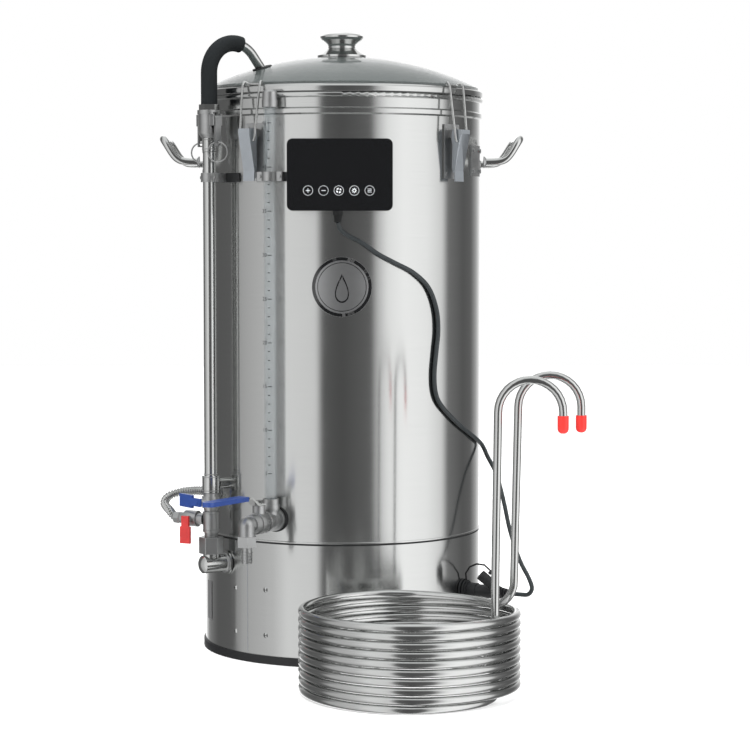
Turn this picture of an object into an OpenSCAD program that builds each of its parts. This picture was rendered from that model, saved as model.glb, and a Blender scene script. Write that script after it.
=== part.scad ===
/* [Kettle] */
// Outer radius of the kettle and of the skirt under it
kettle_r = 175; // [150:1:200]
// Wall thickness of the kettle and the skirt
wall = 1.2; // [0.8:0.1:2]
// Height of the seam between skirt and kettle
seam_z = 149; // [140:1:160]
// Height of the centre of the rolled top rim
rim_z = 690; // [680:1:700]
// Height of the pressed bead under the rim
bead_z = 671; // [665:1:678]
// Radius of the black tray under the skirt
tray_r = 177; // [176:1:182]
// Height of the black tray
tray_h = 10; // [8:1:14]

/* [Lid] */
// Radius of the sphere that the glass dome is cut from
dome_r = 390; // [370:5:420]
// Height of the top of the dome
dome_top = 746.6; // [744:0.2:748]
// Thickness of the lid glass
glass_t = 5; // [4:0.5:6]

/* [Malt pipe] */
// Outer radius of the malt pipe
malt_r = 155; // [140:1:160]
// Height of the top of the malt pipe
malt_top = 662; // [600:1:668]

/* [Sight gauge and tap] */
// Angle of the gauge and the tap round the kettle
tap_angle = -27.2; // [-32:0.2:-24]
// Height of the tap's axis
tap_z = 179; // [175:1:185]
// Distance of the gauge tube from the kettle's axis
gauge_r = 188; // [187:0.5:190]
// Outer radius of the gauge tube
gauge_tube_r = 7.8; // [6:0.1:8.5]

/* [Recirculation column] */
// Angle of the recirculation column round the kettle
col_angle = -55; // [-58:0.5:-52]
// Distance of the column from the kettle's axis
col_r = 197; // [195:0.5:200]
// Height of the pump outlet stub
stub_z = 118; // [116:1:120]
// Outer radius of the riser pipe
riser_pipe_r = 8; // [7:0.1:8.5]
// Outer radius of the arm's pipe
arm_r = 6; // [5:0.1:6]
// Bend radius of the arm
arm_bend = 38; // [34:1:42]

/* [Latches and handles] */
// Angle of the front left latch round the kettle
latch_left = -36.5; // [-38:0.5:-35]
// Angle of the front right latch round the kettle
latch_right = 49.5; // [45:0.5:55]
// Radius of the latch wire
wire_r = 1.5; // [1:0.1:1.8]
// Radius of the lifting handles' rod
handle_rod = 4.75; // [4:0.25:6]

/* [Controller] */
// Width of the control panel
panel_w = 125; // [110:1:130]
// Height of the control panel
panel_h = 85; // [80:1:90]
// Height of the panel's centre
panel_z = 593.7; // [590:0.1:600]
// Distance of the panel's face from the kettle's axis
panel_y = 210; // [205:1:215]

/* [Chiller] */
// Radius of the coil, to the middle of its tube
coil_r = 122.7; // [110:0.1:130]
// Radius of the coil's tube
coil_tube = 4.7; // [4:0.1:4.7]
// Number of turns in the coil
coil_turns = 10; // [6:1:12]
// Height from turn to turn at the front, where the turns stand a little apart
coil_pitch = 10.1; // [10:0.1:10.4]

/* [Cord] */
// Radius of the controller's cord
cord_r = 2.7; // [2.5:0.1:3.5]
// Height of the socket and plug on the skirt
socket_z = 82; // [78:1:90]
// Angle of the socket round the skirt
socket_angle = 59; // [55:1:62]

/* [Hidden] */

$fn = 96;
inner_r = kettle_r - wall;
floor_z = seam_z + 5;
dome_z = dome_top - dome_r;
latch_angles = [latch_left, latch_right, latch_left + 180, latch_right + 180];
// Places on a latch, as distance from the kettle's axis and height
lever_pivot = [188, 646];
bail_pivot = [191.5, 636];
hook_bar = [175.6, 704.1];
lid_edge_r = 178.5;
lid_low = 694.6;
steel = [0.72, 0.73, 0.74];
black = [0.08, 0.08, 0.09];
col_x = col_r * sin(col_angle);
col_y = -col_r * cos(col_angle);
// Where the arm goes from the column, as an angle from +X, and how far it bends
arm_heading = 39.7;
arm_turn = 140;
arm_start = 719;
pump_r = 97;
pump_z = 60;
coil_x = 76.8;
coil_y = -323;
cord_end_r = 244;
// Radius of the control panel's corners
corner_r = 7;
// Screws of the skirt: angle round it and height
screw_places = [[-48.7, 89], [-48.7, 35], [-32.3, 91], [-32.3, 35], [110, 90], [110, 35], [180, 90],
    [180, 35]];

// The cord's route: angle round the kettle, distance from its axis, height
cord_route = [[-1.5, 186, 538], [-0.5, 182, 529], [3, 179, 521], [8, 178.6, 513], [14, 178.6, 500],
    [21, 178.6, 489], [29, 178.6, 477], [36, 178.6, 459], [40, 178.6, 433], [41, 178.6, 407],
    [40, 178.6, 381], [39, 178.6, 352], [40, 178.6, 328], [44, 178.6, 311], [54, 178.6, 289],
    [68, 178.6, 270], [80, 180, 257], [78, 188, 243], [74, 202, 222], [70, 215, 190],
    [67, 227, 155], [63, 246, 122], [60, 264, 103], [59, 271, 91], [59, 266, 83], [59, 256, 82],
    [59, 244, 82]];

// Turns its children to an angle round the kettle and moves them out and up
module around(angle, r = 0, z = 0) {
    rotate([0, 0, angle]) translate([0, -r, z]) children();
}

// A cylinder that points outwards from the kettle's axis, from one radius to another
module radial(angle, z, r1, r2, d1, d2 = -1) {
    around(angle, r1, z) rotate([90, 0, 0]) cylinder(r1 = d1 / 2, r2 = (d2 < 0 ? d1 : d2) / 2, h = r2 - r1);
}

// A flat ring about Z
module ring(r_in, r_out, z1, z2) {
    difference() {
        translate([0, 0, z1]) cylinder(r = r_out, h = z2 - z1);
        translate([0, 0, z1 - 1]) cylinder(r = r_in, h = z2 - z1 + 2);
    }
}

// A round rod between two points, which can reach past each of them
module rod(a, b, r, past_a = 0, past_b = 0) {
    d = b - a;
    translate(a) rotate([0, acos(d[2] / norm(d)), atan2(d[1], d[0])]) translate([0, 0, -past_a])
        cylinder(r = r, h = norm(d) + past_a + past_b, $fn = 48);
}

// A bent rod: straight rods along a list of points, with a ball at each bend
module bent_rod(points, r) {
    for (i = [0:len(points) - 2]) rod(points[i], points[i + 1], r);
    for (i = [1:len(points) - 2]) translate(points[i]) sphere(r = 1.02 * r, $fn = 48);
}

// Points of a smooth curve through the points p
function spline(p, i, t) = let(a = p[max(i - 1, 0)], b = p[i], c = p[i + 1], d = p[min(i + 2, len(p) - 1)])
    0.5 * (2 * b + (c - a) * t + (2 * a - 5 * b + 4 * c - d) * t * t + (3 * b - a - 3 * c + d) * t * t * t);
function smooth(p, n) = concat([for (i = [0:len(p) - 2]) for (k = [0:n - 1]) spline(p, i, k / n)],
    [p[len(p) - 1]]);
function unit(v) = v / norm(v);
function heading(p, i) = unit(p[min(i + 1, len(p) - 1)] - p[max(i - 1, 0)]);
// The side direction of each ring, carried along the curve so that the tube doesn't twist
function sides(p, i = 0, last = [0, 0, 0], out = []) = i >= len(p) ? out :
    let(h = heading(p, i), s = i == 0 ? (abs(h[2]) > 0.9 ? [1, 0, 0] : [0, 0, 1]) : last,
        side = unit(s - h * (s * h)))
    sides(p, i + 1, side, concat(out, [side]));

// A tube of n sides and radius r along the points p
module sweep(p, r, n = 8) {
    side = sides(p);
    points = [for (i = [0:len(p) - 1]) let(h = heading(p, i), up = cross(h, side[i]))
        for (k = [0:n - 1]) p[i] + r * (cos(k * 360 / n) * side[i] + sin(k * 360 / n) * up)];
    m = len(p) - 1;
    faces = concat([[for (k = [n - 1:-1:0]) k]], [[for (k = [0:n - 1]) m * n + k]],
        [for (i = [0:m - 1]) for (k = [0:n - 1])
            [i * n + k, i * n + (k + 1) % n, (i + 1) * n + (k + 1) % n, (i + 1) * n + k]]);
    polyhedron(points = points, faces = faces, convexity = 10);
}

// ---- base ----

module base_tray() {
    color(black) {
        cylinder(r = tray_r, h = 3);
        ring(inner_r - 3, tray_r, 3, tray_h);
    }
}

module base_skirt() {
    color(steel) difference() {
        union() {
            ring(inner_r, kettle_r, tray_h, seam_z);
            ring(inner_r - 8, inner_r, seam_z - wall, seam_z);
        }
        radial(col_angle, stub_z, inner_r - 10, kettle_r + 5, 22.4);
        radial(socket_angle, socket_z, inner_r - 10, kettle_r + 5, 22);
        for (s = screw_places) radial(s[0], s[1], inner_r - 3, kettle_r + 3, 3.1);
    }
}

module skirt_screws() {
    color(steel) for (s = screw_places)
        around(s[0], kettle_r - 2, s[1]) rotate([90, 0, 0]) {
            cylinder(r = 1.5, h = 2, $fn = 24);
            intersection() {
                translate([0, 0, -0.9]) sphere(r = 4.3, $fn = 32);
                translate([0, 0, 2]) cylinder(r = 4, h = 3, $fn = 32);
            }
        }
}

module heating_element() {
    color([0.5, 0.48, 0.46]) {
        for (r = [84, 112]) rotate_extrude() translate([r, floor_z - 3.6]) circle(r = 3.5, $fn = 24);
        for (x = [-1, 1]) translate([x * 12, 98, floor_z - 3.6]) rotate([90, 0, 0])
            cylinder(r = 3, h = 8, center = true, $fn = 24);
    }
}

// The pump hangs under the kettle, on the line to the recirculation column
module at_pump() {
    around(col_angle, pump_r, 0) children();
}

module pump_motor() {
    color(black) at_pump() difference() {
        translate([0, 0, 8]) cylinder(r = 26, h = pump_z - 8);
        translate([0, 0, pump_z - 20]) cylinder(r = 3.05, h = 30, $fn = 32);
    }
}

module pump_impeller() {
    color([0.7, 0.7, 0.66]) at_pump() {
        translate([0, 0, pump_z - 15]) cylinder(r = 3, h = 20, $fn = 32);
        translate([0, 0, pump_z + 5]) cylinder(r = 20, h = 2);
        for (a = [0:60:300]) rotate([0, 0, a]) translate([4, -0.75, pump_z + 7]) cube([15, 1.5, 6]);
    }
}

module pump_head() {
    color([0.25, 0.25, 0.26]) at_pump() difference() {
        translate([0, 0, pump_z]) cylinder(r = 30, h = 22);
        translate([0, 0, pump_z - 1]) cylinder(r = 3.05, h = 10, $fn = 32);
        translate([0, 0, pump_z + 4]) cylinder(r = 24, h = 12);
        translate([0, 0, pump_z + 15]) cylinder(r = 7, h = 10, $fn = 48);
        translate([0, 0, pump_z + 10]) rotate([90, 0, 0]) cylinder(r = 5, h = 40, $fn = 48);
    }
}

module pump_pipes() {
    color(steel) {
        at_pump() difference() {
            translate([0, 0, pump_z + 22]) cylinder(r = 8, h = floor_z - pump_z - 22, $fn = 48);
            translate([0, 0, pump_z + 21]) cylinder(r = 7, h = floor_z - pump_z, $fn = 48);
        }
        around(col_angle) bent_rod([[0, -pump_r - 30.1, pump_z + 10], [0, -144, pump_z + 10], [0, -144,
            stub_z],
            [0, -168, stub_z]], 6);
        radial(col_angle, stub_z, 166, col_r + 12, 22);
        around(col_angle, col_r + 12, stub_z) rotate([90, 0, 0]) intersection() {
            translate([0, 0, -11.5]) sphere(r = 16);
            cylinder(r = 11, h = 6);
        }
        radial(col_angle, stub_z, kettle_r + 0.3, kettle_r + 2.5, 31);
        translate([col_x, col_y, stub_z + 8]) cylinder(r = 10, h = 5);
    }
}

module relay_board() {
    color([0.1, 0.35, 0.2]) translate([40, 20, 0]) {
        translate([0, 0, 12]) cube([80, 60, 1.6]);
        for (x = [5, 72]) for (y = [5, 52]) translate([x, y, 3]) cylinder(r = 2.5, h = 9, $fn = 24);
        for (x = [8, 32]) translate([x, 12, 13.6]) cube([19, 15, 16]);
        translate([12, 38, 13.6]) cube([56, 12, 11]);
    }
}

// ---- kettle ----

module kettle() {
    color(steel) difference() {
        union() {
            ring(inner_r, kettle_r, seam_z + 1, rim_z);
            ring(inner_r - 1, kettle_r - 0.8, seam_z, seam_z + 1);
            translate([0, 0, floor_z]) cylinder(r = inner_r, h = wall);
            rotate_extrude() translate([kettle_r, rim_z + 0.4]) circle(r = 3.6, $fn = 32);
            rotate_extrude() polygon([[kettle_r, bead_z - 4.5], [kettle_r + 2.4, bead_z - 2.5],
                [kettle_r + 2.4, bead_z + 2.5], [kettle_r, bead_z + 4.5]]);
        }
        radial(tap_angle, tap_z, inner_r - 10, kettle_r + 5, 16.4);
        at_pump() translate([0, 0, floor_z - 1]) cylinder(r = 7, h = 5, $fn = 48);
    }
}

module false_bottom() {
    color(steel) {
        difference() {
            translate([0, 0, 168]) cylinder(r = 160, h = 1.2);
            for (r = [30, 60, 90, 120]) for (a = [0:5400 / r:359]) rotate([0, 0, a]) translate([r, 0, 160])
                cylinder(r = 3, h = 20, $fn = 16);
        }
        for (a = [30:120:300]) rotate([0, 0, a]) translate([142, 0, floor_z + wall])
            cylinder(r = 5, h = 168.6 - floor_z - wall);
    }
}

// The malt pipe is an open tube on a perforated bottom
module malt_pipe() {
    color(steel) difference() {
        union() {
            ring(malt_r - 1, malt_r, 169.5, malt_top);
            rotate_extrude() translate([malt_r, malt_top]) circle(r = 2.2, $fn = 24);
            translate([0, 0, 172]) cylinder(r = malt_r - 0.5, h = 1.5);
        }
        for (r = [36, 72, 108, 140]) for (a = [0:4320 / r:359]) rotate([0, 0, a]) translate([r, 0, 165])
            cylinder(r = 2.5, h = 20, $fn = 16);
    }
}

// ---- sight gauge and tap ----

module gauge_tube() {
    color([0.85, 0.9, 0.92, 0.5]) around(tap_angle, gauge_r) ring(gauge_tube_r - 1.8, gauge_tube_r,
        198, 684);
}

module gauge_fittings() {
    color(steel) around(tap_angle, gauge_r) {
        difference() {
            union() {
                translate([0, 0, 684]) cylinder(r = 8.8, h = 9);
                translate([0, 0, 693]) cylinder(r1 = 8.8, r2 = 6.5, h = 2.5);
                translate([0, 0, 675]) cylinder(r = 9.5, h = 9);
            }
            translate([0, 0, 674]) cylinder(r = gauge_tube_r, h = 10);
        }
        ring(gauge_tube_r, 9.8, 198, 205);
    }
}

module tap_gasket() {
    color(black) difference() {
        around(tap_angle, kettle_r - 2, tap_z) rotate([90, 0, 0]) ring(8.2, 15.6, 0, 4.2);
        cylinder(r = kettle_r + 0.25, h = tap_z + 30);
    }
}

module tap_tee() {
    color(steel) difference() {
        union() {
            radial(tap_angle, tap_z, 166, 180, 16);
            around(tap_angle, 172, tap_z) rotate([90, 0, 0]) rotate([0, 0, 30]) cylinder(r = 14,
                h = 1.5, $fn = 6);
            radial(tap_angle, tap_z, 177.3, 182.5, 28);
            radial(tap_angle, tap_z, 182.5, 204, 21);
            radial(tap_angle, tap_z, 204, 209, 26);
            around(tap_angle, gauge_r, tap_z) cylinder(r = 9, h = 12);
            around(tap_angle, gauge_r, tap_z + 12) cylinder(r = 10.6, h = 7);
        }
        around(tap_angle, gauge_r, tap_z) cylinder(r = 6, h = 30);
        radial(tap_angle, tap_z, 160, 215, 12);
    }
}

module tap_valve() {
    color(steel) {
        difference() {
            union() {
                radial(tap_angle, tap_z, 209, 240, 23);
                radial(tap_angle, tap_z, 212, 228, 26);
                around(tap_angle, 218, tap_z) cylinder(r = 7.5, h = 21);
            }
            radial(tap_angle, tap_z, 200, 238, 12);
            around(tap_angle, 218, tap_z) translate([0, 0, 9.5]) cylinder(r = 3.05, h = 20);
        }
        radial(tap_angle, tap_z, 240, 247, 19);
        around(tap_angle, 247, tap_z) sphere(r = 9.5);
        around(tap_angle, 247, 166.4) cylinder(r = 9.5, h = tap_z - 166.4);
        around(tap_angle, 247, 153.5) cylinder(r = 12.5, h = 12.9, $fn = 6);
    }
}

module hose_barb() {
    color(steel) around(tap_angle, 247) ring(4.4, 6, 134, 153.5);
}

module tap_lever() {
    color(steel) around(tap_angle, 218) {
        translate([0, 0, 189]) cylinder(r = 3, h = 14, $fn = 32);
        rotate([0, 0, -7]) {
            translate([-6, -8, 200.3]) cube([12, 14, 2]);
            translate([-6, -20, 0]) rotate([90, 0, 90]) linear_extrude(12)
                polygon([[12, 200.3], [14, 202.3], [0, 212], [-6, 212], [-6, 210], [0, 209.6]]);
            translate([-5, -44, 210]) cube([10, 18, 2]);
        }
        translate([0, 0, 203]) rotate([0, 0, 30]) cylinder(r = 5, h = 3.5, $fn = 6);
    }
}

module tap_grip() {
    color([0.13, 0.27, 0.53]) around(tap_angle, 218) rotate([0, 0, -7]) {
        difference() {
            translate([-8, -97, 208.2]) cube([16, 67, 5.4]);
            translate([-5, -44, 210]) cube([10, 20, 2]);
        }
        translate([0, -97, 208.2]) cylinder(r = 8, h = 5.4);
    }
}

// ---- recirculation column ----

module at_column(z = 0) {
    around(col_angle, col_r, z) children();
}

module union_nut() {
    color(steel) at_column() {
        translate([0, 0, 131]) cylinder(r = 15.2, h = 20.5, $fn = 6);
    }
}

module check_valve() {
    color([0.66, 0.64, 0.6]) at_column() {
        translate([0, 0, 151.5]) cylinder(r = 8, h = 6);
        translate([0, 0, 157.5]) cylinder(r = 10, h = 25.5);
    }
}

// The branch points left and a little back
branch = [-0.9, 0.436, 0];
branch_turn = atan2(branch[1], branch[0]);
module at_branch(z = 173) {
    translate([col_x, col_y, z]) rotate([0, 0, branch_turn]) children();
}

module drain_valve() {
    color(steel) at_branch() {
        translate([10, 0, 0]) rotate([0, 90, 0]) cylinder(r = 7, h = 8);
        translate([18, 0, 0]) rotate([0, 90, 0]) cylinder(r = 10, h = 17);
        translate([35, 0, 0]) rotate([0, 90, 0]) cylinder(r = 7, h = 7);
        translate([26, 9, 0]) rotate([-90, 0, 0]) ring(2.05, 4.5, 0, 7);
    }
}

module red_handle() {
    color([0.7, 0.13, 0.13]) at_branch() translate([26, 0, 0]) {
        translate([0, 10, 0]) rotate([-90, 0, 0]) cylinder(r = 2, h = 10, $fn = 32);
        translate([-5, 16.4, -8]) cube([10, 3.4, 13]);
        translate([-7, 16.4, -29]) cube([14, 3.4, 21]);
    }
}

module column_valve() {
    color([0.68, 0.68, 0.66]) at_column() {
        translate([0, 0, 183]) cylinder(r1 = 8, r2 = 9.5, h = 5);
        translate([0, 0, 188]) cylinder(r = 11, h = 14);
        translate([0, 0, 202]) cylinder(r = 9, h = 4.7);
        translate([0, -10, 195]) rotate([90, 0, 0]) ring(2.05, 5, 0, 6);
    }
}

module blue_handle() {
    color([0.13, 0.27, 0.53]) at_column(195) {
        translate([0, -11.5, 0]) rotate([90, 0, 0]) cylinder(r = 2, h = 10, $fn = 32);
        translate([-13, -19.8, -5]) cube([18, 3.4, 10]);
        translate([-42, -19.8, -8]) cube([29, 3.4, 16]);
    }
}

// The braided hose loops from the end of the drain valve back to a nut behind the column
hose_start = [col_x, col_y, 173] + 42.3 * branch;
hose_end = [-163, -80, 201];
hose_route = [hose_start, hose_start + [-8, 5, 1], [-214, -82, 180], [-222, -66, 188], [-216, -55, 196],
    [-200, -54, 201], [-182, -62, 203], [-170, -71, 203], hose_end];
module steel_hose() {
    color([0.6, 0.6, 0.6]) sweep(smooth(hose_route, 4), 5.7, 10);
}

module riser_pipe() {
    color(steel) at_column() {
        ring(5.6, 10.8, 206.7, 227.5);
        ring(riser_pipe_r - 1.2, riser_pipe_r, 227.5, 640);
        ring(riser_pipe_r + 0.1, 8.8, 625, 640);
        translate([0, 10, 217]) rotate([-90, 0, 0]) cylinder(r = 7, h = 12);
    }
}

module camlock() {
    color(steel) at_column() rotate([0, 0, 90]) {
        difference() {
            union() {
                translate([0, 0, 640]) cylinder(r1 = 9, r2 = 13, h = 6);
                translate([0, 0, 646]) cylinder(r = 13, h = 26);
                translate([0, 0, 669]) cylinder(r = 14.5, h = 5);
                for (s = [-1, 1]) for (x = [-1, 1]) translate([x * 5.5 - 1.25, s > 0 ? 11 : -19, 655])
                    cube([2.5, 8, 14]);
            }
            translate([0, 0, 639]) cylinder(r = 6.8, h = 40);
            translate([0, 0, 650]) cylinder(r = 10, h = 40);
            for (s = [-1, 1]) translate([-4.3, s > 0 ? 9 : -19, 652]) cube([8.6, 10, 19]);
        }
        for (s = [-1, 1]) translate([0, s * 16.5, 663]) rotate([0, 90, 0]) cylinder(r = 1.5, h = 14,
            center = true, $fn = 24);
    }
}

// A cam lever with its pull ring: side 1 is the right of the coupler, seen from outside, and -1 its left
module cam_lever(s) {
    color(steel) at_column() rotate([0, 0, s * 90]) {
        difference() {
            union() {
                translate([-4, -16.5, 663]) rotate([0, 90, 0]) cylinder(r = 4.4, h = 8, $fn = 48);
                translate([-4, -20.9, 630]) cube([8, 3.2, 33]);
            }
            translate([-5, -16.5, 663]) rotate([0, 90, 0]) cylinder(r = 1.55, h = 10, $fn = 24);
            translate([0, -22, 634]) rotate([-90, 0, 0]) cylinder(r = 2.9, h = 6, $fn = 24);
        }
        translate([0, -19.3, 623]) rotate([0, 90, 45]) rotate_extrude() translate([12, 0])
            circle(r = 0.9, $fn = 16);
    }
}

module cam_lever_left() {
    cam_lever(-1);
}

module cam_lever_right() {
    cam_lever(1);
}

module clamp_strap() {
    color(black) for (a = [[-62, -45], [-29.5, -21.9]]) rotate([0, 0, a[0] - 90])
        rotate_extrude(angle = a[1] - a[0]) translate([kettle_r, 587]) square([1.2, 11]);
}

// A saddle clip for a pipe of radius r
module pipe_clip(angle, r_from_axis, r) {
    around(angle, r_from_axis, 587) difference() {
        union() {
            cylinder(r = r + 2.2, h = 11);
            translate([-r - 9, -2, 0]) cube([2 * r + 18, 4, 11]);
            translate([-5, 2, 0]) cube([10, r_from_axis - kettle_r - 3.2, 11]);
            for (x = [-1, 1]) translate([x * (r + 5.6), -2, 5.5]) rotate([90, 0, 0]) cylinder(r = 2.4,
                h = 1.8, $fn = 24);
        }
        translate([0, 0, -1]) cylinder(r = r, h = 13);
    }
}

module pipe_clips() {
    color(steel) {
        pipe_clip(tap_angle, gauge_r, gauge_tube_r);
        pipe_clip(col_angle, col_r, riser_pipe_r);
    }
}

// ---- recirculation arm ----

module at_arm() {
    translate([col_x, col_y, arm_start]) rotate([0, 0, arm_heading]) children();
}

module arm_pipe() {
    color(steel) {
        at_column() {
            translate([0, 0, 655]) cylinder(r = 9.6, h = 19.3);
            translate([0, 0, 674.3]) cylinder(r = 12.5, h = 6.7, $fn = 6);
            translate([0, 0, 681]) cylinder(r = arm_r, h = arm_start - 681);
        }
        at_arm() translate([arm_bend, 0, 0]) rotate([90, 0, 0]) {
            rotate([0, 0, 180 - arm_turn]) rotate_extrude(angle = arm_turn) translate([arm_bend, 0])
                circle(r = arm_r, $fn = 32);
            rotate([0, 0, 180 - arm_turn]) translate([arm_bend, 0, 0]) rotate([90, 0, 0])
                cylinder(r = arm_r, h = 62, $fn = 32);
        }
    }
}

module foam_sleeve() {
    color([0.12, 0.15, 0.16]) {
        at_column() ring(arm_r, 10, 681, arm_start);
        at_arm() translate([arm_bend, 0, 0]) rotate([90, 0, 0]) rotate([0, 0, 75])
            rotate_extrude(angle = 105)
            translate([arm_bend, 0]) difference() {
                circle(r = 10, $fn = 48);
                circle(r = arm_r, $fn = 32);
            }
    }
}

// ---- lid ----

module lid_glass() {
    color([0.58, 0.6, 0.6, 0.5]) difference() {
        intersection() {
            translate([0, 0, dome_z]) difference() {
                sphere(r = dome_r, $fn = 200);
                sphere(r = dome_r - glass_t, $fn = 200);
            }
            translate([0, 0, 695]) cylinder(r = 172.5, h = 60);
        }
        cylinder(r = 6, h = 800, $fn = 48);
        translate([-98.6, -60.8, 700]) cylinder(r = 11, h = 50);
    }
}

module lid_rim() {
    color(steel) rotate_extrude() polygon([[lid_edge_r, lid_low], [lid_edge_r, 700.4], [177, 701.8],
        [174.4, 701.8],
        [174, 703.4], [172.6, 703.4], [172.6, 699.4], [165, 699.4], [165, 698.2], [176, 698.2], [176,
            lid_low]]);
}

module lid_knob() {
    color(steel) rotate_extrude() polygon([[0, 779], [8, 778.6], [18, 777], [24.5, 774.7], [27.4, 772.6],
        [27.4, 770.6], [25.2, 767.8], [21, 765], [18, 762.6], [17, 760.2], [17.6, 757.6], [20.4, 755],
            [25.5, 751.8],
        [31, 748.6], [31, 746], [27, 746], [25, 748.2], [5, 748.2], [5, 741.2], [12, 741.2], [12,
            737.5], [0, 737.5]]);
}

// ---- handles ----

// A lifting handle on the side s
module handle(s) {
    half = [[kettle_r + 2.2, -55, 613], [192, -55, 613], [202, -55, 614], [210, -55, 622], [217, -54, 634],
        [221, -51, 640], [223.2, -44, 643]];
    other = [for (i = [len(half) - 1:-1:0]) [half[i][0], -half[i][1], half[i][2]]];
    route = smooth(concat(half, [[223.2, 0, 643]], other), 2);
    color(steel) sweep([for (p = route) [s * p[0], s * p[1], p[2]]], handle_rod, 12);
}

module handle_left() {
    handle(-1);
}

module handle_right() {
    handle(1);
}

module handle_brackets() {
    color(steel) for (s = [-1, 1]) for (t = [-1, 1]) around(s * 90 + t * 18.2, 0, 0) {
        intersection() {
            ring(kettle_r, kettle_r + 1.8, 595.6, 633.6);
            translate([-20, -kettle_r - 10, 590]) cube([40, 30, 50]);
        }
        for (x = [-14, 14]) for (z = [602, 627]) translate([x, -kettle_r - 0.6, z]) rotate([90, 0, 0])
            cylinder(r = 2.8, h = 2.6, $fn = 24);
    }
}

// ---- latches ----

module latch_plates() {
    color(steel) for (a = latch_angles) around(a) difference() {
        union() {
            translate([-14.5, -kettle_r - 1.4, 591]) cube([29, 1.4, 66]);
            for (x = [-1, 1]) translate([x * 4.5 - 1, -lever_pivot[0] - 3, 641]) cube([2,
                3 + lever_pivot[0] - kettle_r - 1.4, 9]);
            translate([-9.2, -lever_pivot[0], lever_pivot[1]]) rotate([0, 90, 0]) cylinder(r = wire_r,
                h = 18.4, $fn = 24);
            for (x = [-10, 10]) for (z = [597, 651]) translate([x, -kettle_r - 1.4, z]) rotate([90, 0, 0])
                cylinder(r = 2.2, h = 1.2, $fn = 24);
        }
        cylinder(r = kettle_r, h = 700);
    }
}

// The outline of a lever's side flange, as distance from the kettle's axis and height
flange = [[-184, 651], [-197, 650], [-197.5, 645], [-187.5, 600], [-184.5, 598], [-183, 604], [-184,
    632], [-182, 640]];
module latch_lever(i) {
    color([0.5, 0.53, 0.56]) around(latch_angles[i]) difference() {
        union() {
            for (x = [-8.4, 7.0]) translate([x, 0, 0]) rotate([90, 0, 90]) linear_extrude(1.4)
                polygon(flange);
            translate([-8.4, 0, 0]) rotate([90, 0, 90]) linear_extrude(16.8)
                polygon([[-196, 650], [-197.5, 650], [-198, 645], [-188, 600], [-188.5, 587.5], [-187,
                    587.5], [-186.5, 600],
                    [-196.5, 645]]);
        }
        translate([-12, -lever_pivot[0], lever_pivot[1]]) rotate([0, 90, 0])
            cylinder(r = wire_r + 0.06, h = 24, $fn = 24);
        translate([-12, -bail_pivot[0], bail_pivot[1]]) rotate([0, 90, 0]) cylinder(r = wire_r + 0.06,
            h = 24, $fn = 24);
    }
}

// One side of the wire bail, from the lever's hole up over the rim of the lid
bail_side = [[7.1, -bail_pivot[0], bail_pivot[1]], [11, -bail_pivot[0], bail_pivot[1]], [13, -184, 700],
    [13, -180.8, 706.2], [12.4, -177.6, 706.6], [10, -hook_bar[0], hook_bar[1]]];
bail_route = concat([for (p = bail_side) [-p[0], p[1], p[2]]], [for (i = [len(bail_side) - 1:-1:0])
    bail_side[i]]);
module latch_bail(i) {
    color(steel) around(latch_angles[i]) {
        for (i = [0:len(bail_route) - 2]) rod(bail_route[i], bail_route[i + 1], wire_r - (i % 2) * 0.1,
            i == 0 ? 0 : 0.7,
            i == len(bail_route) - 2 ? 0 : 0.7);
    }
}

module latch_lever_1() { latch_lever(0); }
module latch_lever_2() { latch_lever(1); }
module latch_lever_3() { latch_lever(2); }
module latch_lever_4() { latch_lever(3); }
module latch_bail_1() { latch_bail(0); }
module latch_bail_2() { latch_bail(1); }
module latch_bail_3() { latch_bail(2); }
module latch_bail_4() { latch_bail(3); }

// ---- controller ----

module controller_box() {
    color(steel) difference() {
        translate([-2.4, -panel_y + 40, panel_z]) rotate([90, 0, 0]) {
            cube([panel_w - 2 * corner_r, panel_h, 72], center = true);
            cube([panel_w, panel_h - 2 * corner_r, 72], center = true);
            for (x = [-1, 1]) for (y = [-1, 1])
                translate([x * (panel_w / 2 - corner_r), y * (panel_h / 2 - corner_r), -36])
                    cylinder(r = corner_r, h = 72);
        }
        translate([0, 0, 500]) cylinder(r = kettle_r, h = 200);
    }
}

module controller_panel() {
    color(black) translate([-2.4, -panel_y + 4, panel_z]) rotate([90, 0, 0]) linear_extrude(4)
        offset(r = corner_r, $fn = 32) square([panel_w - 2 * corner_r, panel_h - 2 * corner_r],
            center = true);
}

module strain_relief() {
    color(black) rotate([0, 0, -1.5]) translate([0, -186, 0]) {
        translate([0, 0, 546]) cylinder(r = 6, h = 5.2, $fn = 48);
        for (i = [0:3]) translate([0, 0, 538 + 2 * i]) cylinder(r = 4.4 + 0.25 * i, h = 1.4, $fn = 32);
        translate([0, 0, 538]) cylinder(r = 3.6, h = 8, $fn = 32);
    }
}

module badge() {
    color([0.75, 0.75, 0.74]) intersection() {
        ring(kettle_r, kettle_r + 0.8, 400, 520);
        translate([0, 0, 460.5]) rotate([90, 0, 0]) cylinder(r = 36, h = 200);
    }
}

// ---- socket, plug and cord ----

module socket() {
    color(black) {
        radial(socket_angle, socket_z, 170, kettle_r + 0.4, 21);
        radial(socket_angle, socket_z, kettle_r + 0.4, kettle_r + 3, 27);
        radial(socket_angle, socket_z, kettle_r + 3, kettle_r + 9, 21);
    }
}

module plug() {
    color(black) {
        radial(socket_angle, socket_z, kettle_r + 9, 196, 19);
        radial(socket_angle, socket_z, 196, 226, 16.5);
        for (i = [0:4]) radial(socket_angle, socket_z, 226 + i * 3.6, 228.6 + i * 3.6, 14.5 - 1.4 * i);
        radial(socket_angle, socket_z, 226, cord_end_r, 7);
    }
}

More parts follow.
